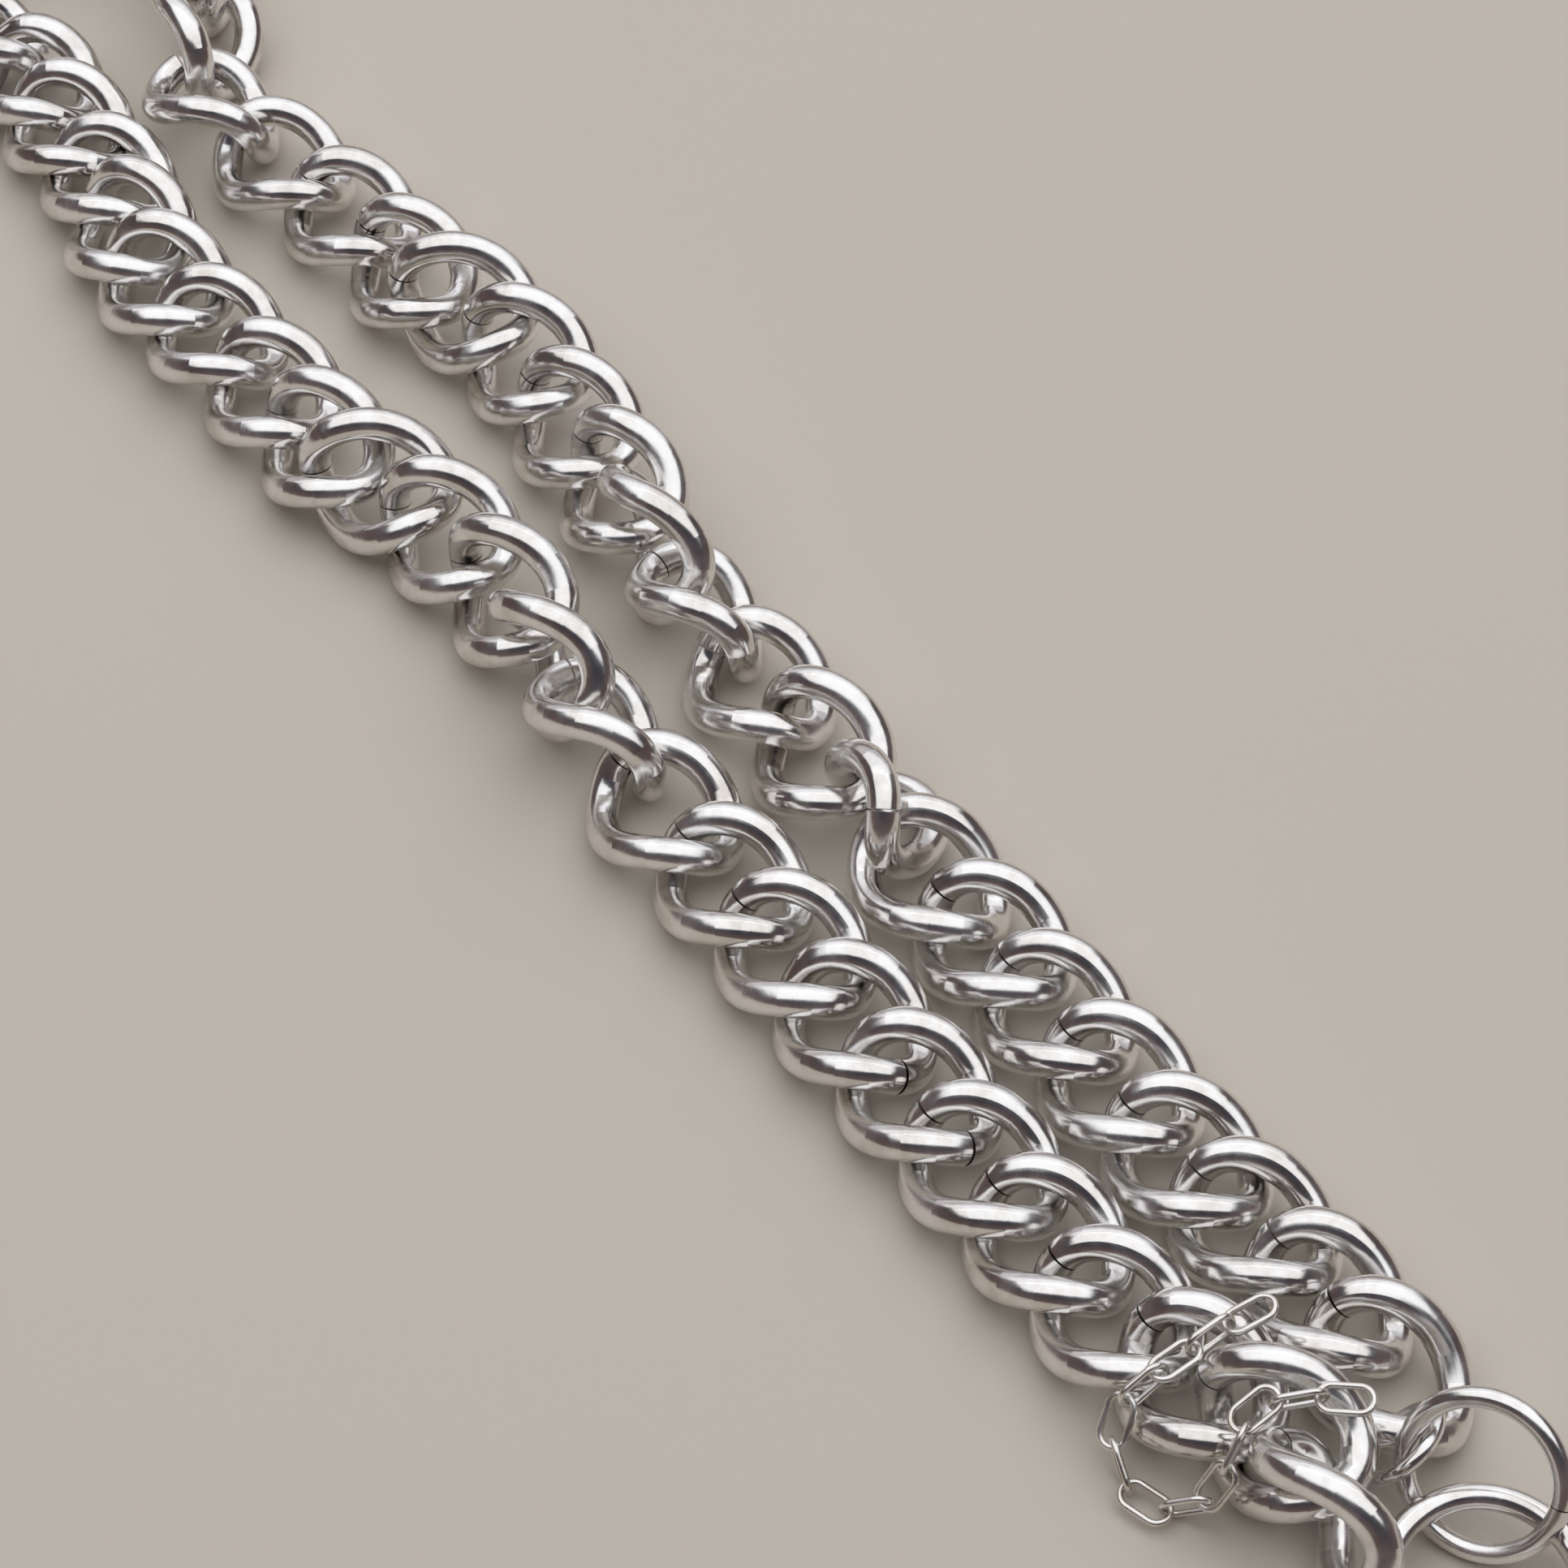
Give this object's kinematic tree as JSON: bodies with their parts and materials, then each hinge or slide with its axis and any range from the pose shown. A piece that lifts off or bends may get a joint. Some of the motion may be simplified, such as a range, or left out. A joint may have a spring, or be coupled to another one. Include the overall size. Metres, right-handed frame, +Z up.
{
  "type": "curb chain bracelet",
  "caption": "Heavy polished silver curb chain laid double in two runs, with jump ring, connector ring, sprung bolt ring clasp and a fine safety chain.",
  "frame": {"origin": "middle of the part in plan, on the surface it lies on", "axes": "+X along the two runs from the fold to the clasp, +Y from the left run to the right run, +Z up"},
  "size_m": [0.1088, 0.0162, 0.0058],
  "materials": {
    "curb": "polished silver with fine wear",
    "clasp": "polished silver",
    "safety_chain": "fine silver wire",
    "spring": "spring steel"
  },
  "bodies": {
    "left_link_01": {"left_link_01": "curb"},
    "left_link_02": {"left_link_02": "curb"},
    "left_link_03": {"left_link_03": "curb", "safety_chain": "safety_chain"},
    "left_link_04": {"left_link_04": "curb"},
    "left_link_05": {"left_link_05": "curb"},
    "left_link_06": {"left_link_06": "curb"},
    "left_link_07": {"left_link_07": "curb"},
    "left_link_08": {"left_link_08": "curb"},
    "left_link_09": {"left_link_09": "curb"},
    "left_link_10": {"left_link_10": "curb"},
    "left_link_11": {"left_link_11": "curb"},
    "left_link_12": {"left_link_12": "curb"},
    "left_link_13": {"left_link_13": "curb"},
    "left_link_14": {"left_link_14": "curb"},
    "left_link_15": {"left_link_15": "curb"},
    "left_link_16": {"left_link_16": "curb"},
    "left_link_17": {"left_link_17": "curb"},
    "left_link_18": {"left_link_18": "curb"},
    "left_link_19": {"left_link_19": "curb"},
    "left_link_20": {"left_link_20": "curb"},
    "left_link_21": {"left_link_21": "curb"},
    "left_link_22": {"left_link_22": "curb"},
    "left_link_23": {"left_link_23": "curb"},
    "left_link_24": {"left_link_24": "curb"},
    "fold_link_1": {"fold_link_1": "curb"},
    "fold_link_2": {"fold_link_2": "curb"},
    "fold_link_3": {"fold_link_3": "curb"},
    "fold_link_4": {"fold_link_4": "curb"},
    "fold_link_5": {"fold_link_5": "curb"},
    "fold_link_6": {"fold_link_6": "curb"},
    "fold_link_7": {"fold_link_7": "curb"},
    "fold_link_8": {"fold_link_8": "curb"},
    "right_link_01": {"right_link_01": "curb"},
    "right_link_02": {"right_link_02": "curb"},
    "right_link_03": {"right_link_03": "curb"},
    "right_link_04": {"right_link_04": "curb"},
    "right_link_05": {"right_link_05": "curb"},
    "right_link_06": {"right_link_06": "curb"},
    "right_link_07": {"right_link_07": "curb"},
    "right_link_08": {"right_link_08": "curb"},
    "right_link_09": {"right_link_09": "curb"},
    "right_link_10": {"right_link_10": "curb"},
    "right_link_11": {"right_link_11": "curb"},
    "right_link_12": {"right_link_12": "curb"},
    "right_link_13": {"right_link_13": "curb"},
    "right_link_14": {"right_link_14": "curb"},
    "right_link_15": {"right_link_15": "curb"},
    "right_link_16": {"right_link_16": "curb"},
    "right_link_17": {"right_link_17": "curb"},
    "right_link_18": {"right_link_18": "curb"},
    "right_link_19": {"right_link_19": "curb"},
    "right_link_20": {"right_link_20": "curb"},
    "right_link_21": {"right_link_21": "curb"},
    "jump_ring": {"jump_ring": "clasp"},
    "connector_ring": {"connector_ring": "clasp"},
    "bolt_ring": {"bolt_ring_tube": "clasp", "bolt_spring": "spring"},
    "bolt": {"bolt": "clasp"}
  },
  "joints": [
    {"name": "fold_link_3_bend", "type": "hinge", "parent": "fold_link_4", "child": "fold_link_3", "pos_m": [-0.05169, -0.00012, 0.00282], "axis": [0, 0, -1], "range_deg": [0, 9]},
    {"name": "fold_link_2_lift", "type": "hinge", "parent": "fold_link_3", "child": "fold_link_2", "pos_m": [-0.05007, -0.00312, 0.00258], "axis": [-0.6649, -0.7469, 0], "range_deg": [0, 9]},
    {"name": "fold_link_1_bend", "type": "hinge", "parent": "fold_link_2", "child": "fold_link_1", "pos_m": [-0.04679, -0.00427, 0.00212], "axis": [0, 0, -1], "range_deg": [0, 9]},
    {"name": "left_link_24_lift", "type": "hinge", "parent": "fold_link_1", "child": "left_link_24", "pos_m": [-0.04308, -0.00389, 0.00177], "axis": [0.1629, -0.9866, 0], "range_deg": [0, 3]},
    {"name": "left_link_23_bend", "type": "hinge", "parent": "left_link_24", "child": "left_link_23", "pos_m": [-0.03959, -0.00376, 0.00172], "axis": [0, 0, -1], "range_deg": [0, 5.5]},
    {"name": "left_link_22_lift", "type": "hinge", "parent": "left_link_23", "child": "left_link_22", "pos_m": [-0.03598, -0.00397, 0.00173], "axis": [-0.025, -0.9997, 0], "range_deg": [0, 9]},
    {"name": "left_link_21_bend", "type": "hinge", "parent": "left_link_22", "child": "left_link_21", "pos_m": [-0.03242, -0.00444, 0.00183], "axis": [0, 0, -1], "range_deg": [0, 9]},
    {"name": "left_link_20_lift", "type": "hinge", "parent": "left_link_21", "child": "left_link_20", "pos_m": [-0.02898, -0.00505, 0.00194], "axis": [-0.098, -0.9952, 0], "range_deg": [0, 9]},
    {"name": "left_link_19_bend", "type": "hinge", "parent": "left_link_20", "child": "left_link_19", "pos_m": [-0.02522, -0.00508, 0.00192], "axis": [0, 0, -1], "range_deg": [0, 9]},
    {"name": "left_link_18_lift", "type": "hinge", "parent": "left_link_19", "child": "left_link_18", "pos_m": [-0.02122, -0.0048, 0.0019], "axis": [0.061, -0.9981, 0], "range_deg": [0, 9]},
    {"name": "left_link_17_bend", "type": "hinge", "parent": "left_link_18", "child": "left_link_17", "pos_m": [-0.01724, -0.00466, 0.00206], "axis": [0, 0, -1], "range_deg": [0, 9]},
    {"name": "left_link_16_lift", "type": "hinge", "parent": "left_link_17", "child": "left_link_16", "pos_m": [-0.01359, -0.00429, 0.00239], "axis": [0.2021, -0.9794, 0], "range_deg": [0, 9]},
    {"name": "left_link_15_bend", "type": "hinge", "parent": "left_link_16", "child": "left_link_15", "pos_m": [-0.01007, -0.00355, 0.00246], "axis": [0, 0, -1], "range_deg": [0, 7]},
    {"name": "left_link_14_lift", "type": "hinge", "parent": "left_link_15", "child": "left_link_14", "pos_m": [-0.00614, -0.00309, 0.00253], "axis": [0.031, -0.9995, 0], "range_deg": [0, 9]},
    {"name": "left_link_13_bend", "type": "hinge", "parent": "left_link_14", "child": "left_link_13", "pos_m": [-0.00199, -0.00318, 0.00279], "axis": [0, 0, -1], "range_deg": [0, 4]},
    {"name": "left_link_12_lift", "type": "hinge", "parent": "left_link_13", "child": "left_link_12", "pos_m": [0.00198, -0.00336, 0.00281], "axis": [-0.01, -0.9999, 0], "range_deg": [0, 6]},
    {"name": "left_link_11_bend", "type": "hinge", "parent": "left_link_12", "child": "left_link_11", "pos_m": [0.00594, -0.00341, 0.00223], "axis": [0, 0, -1], "range_deg": [0, 3]},
    {"name": "left_link_10_lift", "type": "hinge", "parent": "left_link_11", "child": "left_link_10", "pos_m": [0.01013, -0.00334, 0.00172], "axis": [0.046, -0.9989, 0], "range_deg": [0, 9]},
    {"name": "left_link_09_bend", "type": "hinge", "parent": "left_link_10", "child": "left_link_09", "pos_m": [0.01423, -0.00322, 0.0017], "axis": [0, 0, -1], "range_deg": [0, 9]},
    {"name": "left_link_08_lift", "type": "hinge", "parent": "left_link_09", "child": "left_link_08", "pos_m": [0.01811, -0.00317, 0.00169], "axis": [0.013, -0.9999, 0], "range_deg": [0, 9]},
    {"name": "left_link_07_bend", "type": "hinge", "parent": "left_link_08", "child": "left_link_07", "pos_m": [0.02199, -0.00312, 0.00167], "axis": [0, 0, -1], "range_deg": [0, 9]},
    {"name": "left_link_06_lift", "type": "hinge", "parent": "left_link_07", "child": "left_link_06", "pos_m": [0.02586, -0.00307, 0.00171], "axis": [0.013, -0.9999, 0], "range_deg": [0, 9]},
    {"name": "left_link_05_bend", "type": "hinge", "parent": "left_link_06", "child": "left_link_05", "pos_m": [0.0297, -0.003, 0.00167], "axis": [0, 0, -1], "range_deg": [0, 9]},
    {"name": "left_link_04_lift", "type": "hinge", "parent": "left_link_05", "child": "left_link_04", "pos_m": [0.0335, -0.0029, 0.00169], "axis": [0.026, -0.9997, 0], "range_deg": [0, 9]},
    {"name": "left_link_03_bend", "type": "hinge", "parent": "left_link_04", "child": "left_link_03", "pos_m": [0.03727, -0.0025, 0.0018], "axis": [0, 0, -1], "range_deg": [0, 6.5]},
    {"name": "left_link_02_turn", "type": "hinge", "parent": "left_link_03", "child": "left_link_02", "pos_m": [0.04081, -0.00177, 0.00217], "axis": [-0.8116, 0.5411, -0.2204], "range_deg": [0, 7]},
    {"name": "left_link_01_bend", "type": "hinge", "parent": "left_link_02", "child": "left_link_01", "pos_m": [0.04426, -0.00176, 0.00268], "axis": [0, 0, -1], "range_deg": [0, 4]},
    {"name": "fold_link_5_dip", "type": "hinge", "parent": "fold_link_4", "child": "fold_link_5", "pos_m": [-0.05101, 0.00323, 0.0029], "axis": [-0.8615, 0.5077, 0], "range_deg": [0, 7.5]},
    {"name": "fold_link_6_bend", "type": "hinge", "parent": "fold_link_5", "child": "fold_link_6", "pos_m": [-0.04834, 0.00544, 0.0029], "axis": [0, 0, 1], "range_deg": [0, 9]},
    {"name": "fold_link_7_dip", "type": "hinge", "parent": "fold_link_6", "child": "fold_link_7", "pos_m": [-0.04477, 0.00578, 0.00284], "axis": [0.159, 0.9873, 0], "range_deg": [0, 9]},
    {"name": "fold_link_8_bend", "type": "hinge", "parent": "fold_link_7", "child": "fold_link_8", "pos_m": [-0.04094, 0.00451, 0.00271], "axis": [0, 0, 1], "range_deg": [0, 9]},
    {"name": "right_link_01_dip", "type": "hinge", "parent": "fold_link_8", "child": "right_link_01", "pos_m": [-0.03701, 0.00269, 0.00242], "axis": [0.4039, 0.9148, 0], "range_deg": [0, 9]},
    {"name": "right_link_02_bend", "type": "hinge", "parent": "right_link_01", "child": "right_link_02", "pos_m": [-0.03291, 0.00217, 0.00201], "axis": [0, 0, 1], "range_deg": [0, 9]},
    {"name": "right_link_03_dip", "type": "hinge", "parent": "right_link_02", "child": "right_link_03", "pos_m": [-0.02853, 0.00289, 0.00181], "axis": [-0.173, 0.9849, 0], "range_deg": [0, 9]},
    {"name": "right_link_04_bend", "type": "hinge", "parent": "right_link_03", "child": "right_link_04", "pos_m": [-0.02413, 0.00334, 0.00204], "axis": [0, 0, 1], "range_deg": [0, 9]},
    {"name": "right_link_05_dip", "type": "hinge", "parent": "right_link_04", "child": "right_link_05", "pos_m": [-0.02019, 0.00367, 0.0025], "axis": [-0.154, 0.9881, 0], "range_deg": [0, 9]},
    {"name": "right_link_06_bend", "type": "hinge", "parent": "right_link_05", "child": "right_link_06", "pos_m": [-0.01657, 0.00422, 0.00258], "axis": [0, 0, 1], "range_deg": [0, 9]},
    {"name": "right_link_07_dip", "type": "hinge", "parent": "right_link_06", "child": "right_link_07", "pos_m": [-0.01266, 0.00436, 0.00234], "axis": [0.066, 0.9978, 0], "range_deg": [0, 9]},
    {"name": "right_link_08_bend", "type": "hinge", "parent": "right_link_07", "child": "right_link_08", "pos_m": [-0.00855, 0.00398, 0.00242], "axis": [0, 0, 1], "range_deg": [0, 9]},
    {"name": "right_link_09_dip", "type": "hinge", "parent": "right_link_08", "child": "right_link_09", "pos_m": [-0.00471, 0.0035, 0.00275], "axis": [0.134, 0.991, 0], "range_deg": [0, 9]},
    {"name": "right_link_10_dip", "type": "hinge", "parent": "right_link_09", "child": "right_link_10", "pos_m": [-0.00104, 0.00318, 0.00272], "axis": [0.041, 0.9992, 0], "range_deg": [0, 9]},
    {"name": "right_link_11_dip", "type": "hinge", "parent": "right_link_10", "child": "right_link_11", "pos_m": [0.00278, 0.00305, 0.0021], "axis": [0.025, 0.9997, 0], "range_deg": [0, 9]},
    {"name": "right_link_12_bend", "type": "hinge", "parent": "right_link_11", "child": "right_link_12", "pos_m": [0.00687, 0.00286, 0.00198], "axis": [0, 0, 1], "range_deg": [0, 9]},
    {"name": "right_link_13_dip", "type": "hinge", "parent": "right_link_12", "child": "right_link_13", "pos_m": [0.01088, 0.00302, 0.00236], "axis": [-0.1581, 0.9874, 0], "range_deg": [0, 9]},
    {"name": "right_link_14_bend", "type": "hinge", "parent": "right_link_13", "child": "right_link_14", "pos_m": [0.01447, 0.00317, 0.00209], "axis": [0, 0, 1], "range_deg": [0, 9]},
    {"name": "right_link_15_dip", "type": "hinge", "parent": "right_link_14", "child": "right_link_15", "pos_m": [0.01804, 0.00306, 0.00173], "axis": [-0.025, 0.9997, 0], "range_deg": [0, 9]},
    {"name": "right_link_16_bend", "type": "hinge", "parent": "right_link_15", "child": "right_link_16", "pos_m": [0.02182, 0.0031, 0.00169], "axis": [0, 0, 1], "range_deg": [0, 9]},
    {"name": "right_link_17_dip", "type": "hinge", "parent": "right_link_16", "child": "right_link_17", "pos_m": [0.02568, 0.0031, 0.00167], "axis": [0, 1, 0], "range_deg": [0, 9]},
    {"name": "right_link_18_bend", "type": "hinge", "parent": "right_link_17", "child": "right_link_18", "pos_m": [0.02954, 0.0031, 0.00171], "axis": [0, 0, 1], "range_deg": [0, 9]},
    {"name": "right_link_19_dip", "type": "hinge", "parent": "right_link_18", "child": "right_link_19", "pos_m": [0.03325, 0.00326, 0.00168], "axis": [-0.086, 0.9963, 0], "range_deg": [0, 8.5]},
    {"name": "right_link_20_bend", "type": "hinge", "parent": "right_link_19", "child": "right_link_20", "pos_m": [0.03691, 0.00354, 0.00159], "axis": [0, 0, 1], "range_deg": [0, 9]},
    {"name": "right_link_21_dip", "type": "hinge", "parent": "right_link_20", "child": "right_link_21", "pos_m": [0.0405, 0.00361, 0.00153], "axis": [0.036, 0.9994, 0], "range_deg": [0, 4.5]},
    {"name": "jump_ring_swing", "type": "hinge", "parent": "right_link_21", "child": "jump_ring", "pos_m": [0.04503, 0.003, 0.00155], "axis": [-0.3181, -0.825, 0.4672], "range_deg": [0, 30]},
    {"name": "connector_ring_swing", "type": "hinge", "parent": "jump_ring", "child": "connector_ring", "pos_m": [0.04574, 0.00248, 0.00301], "axis": [0.3008, -0.9524, 0.0501], "range_deg": [0, 30]},
    {"name": "bolt_ring_swing", "type": "hinge", "parent": "connector_ring", "child": "bolt_ring", "pos_m": [0.05026, 0.00371, 0.00199], "axis": [0.0999, 0.5793, 0.809], "range_deg": [0, 30]},
    {"name": "bolt_draw", "type": "hinge", "parent": "bolt_ring", "child": "bolt", "pos_m": [0.05056, 0.0011, 0.0011], "axis": [0.1707, -0.0502, 0.984], "range_deg": [0, 41.1], "stiffness_Nm_per_rad": 0.002, "springref_deg": -17.19}
  ]
}
